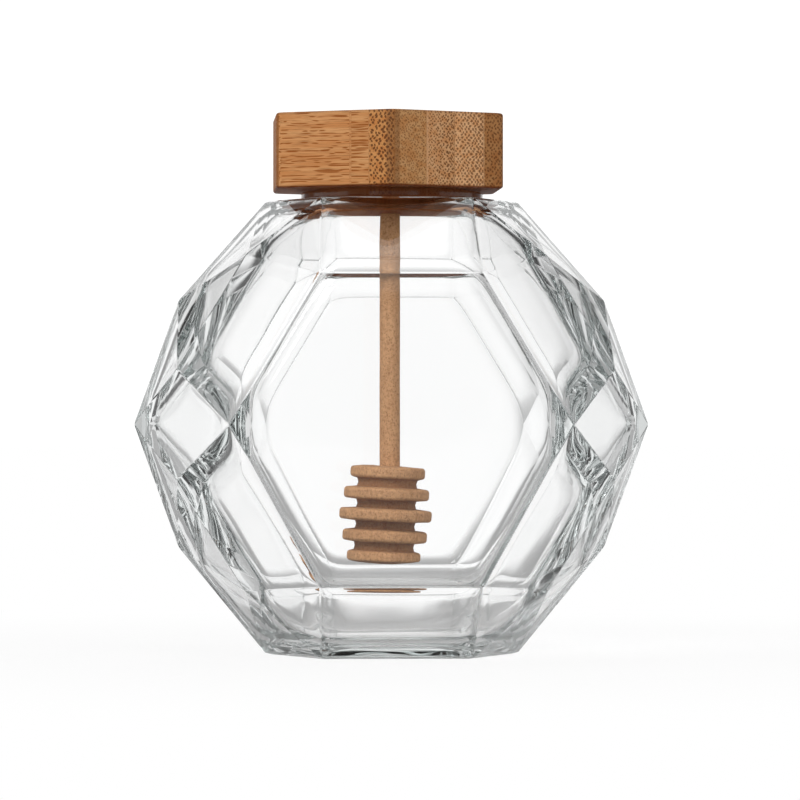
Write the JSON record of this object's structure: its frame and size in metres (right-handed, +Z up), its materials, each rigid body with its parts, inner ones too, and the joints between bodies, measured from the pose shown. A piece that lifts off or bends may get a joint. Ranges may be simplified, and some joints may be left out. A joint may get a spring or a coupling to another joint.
{
  "type": "honey jar with dipper",
  "caption": "Empty faceted clear glass honey jar with a six-sided front, a hexagonal wooden stopper lid and a grooved wooden dipper hanging from the lid.",
  "frame": {"origin": "centre of the jar's footprint, on the plane that the base stands on", "axes": "+Z up through the neck, -Y out of the wide six-sided front pane, +X to the right of that pane"},
  "size_m": [0.112, 0.0858, 0.117],
  "materials": {
    "clear_glass": "clear moulded glass, faintly green-grey in thick edges",
    "bamboo": "laminated bamboo, satin oil, long grain on some faces and end grain on others",
    "beech": "plain unvarnished light brown wood, finely sanded"
  },
  "bodies": {
    "root": {"jar": "clear_glass", "lid": "bamboo", "dipper": "beech"}
  },
  "joints": []
}
